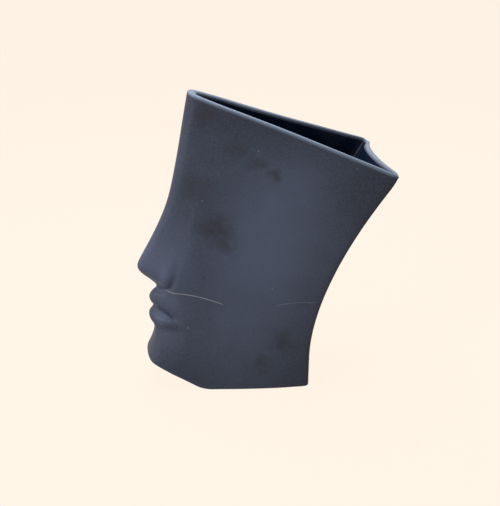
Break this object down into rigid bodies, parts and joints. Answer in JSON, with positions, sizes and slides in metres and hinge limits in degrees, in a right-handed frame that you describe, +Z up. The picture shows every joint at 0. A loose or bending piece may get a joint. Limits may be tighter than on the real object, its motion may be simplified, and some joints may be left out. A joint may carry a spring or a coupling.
{
  "type": "face vase",
  "caption": "Flattened ceramic head in profile, open at its slanted top as a vase: matte black outside, glossy glaze inside, standing on a flat foot.",
  "frame": {"origin": "on the flat foot face, in the vase's mid-plane, below the middle of the neck", "axes": "+Z up, -X the way that the face looks, Y across the flat cheeks"},
  "size_m": [0.2089, 0.099, 0.2606],
  "materials": {
    "black_bisque": "matte",
    "inner_glaze": "gloss"
  },
  "bodies": {
    "root": {"vase_body": "black_bisque", "interior_glaze": "inner_glaze"}
  },
  "joints": []
}
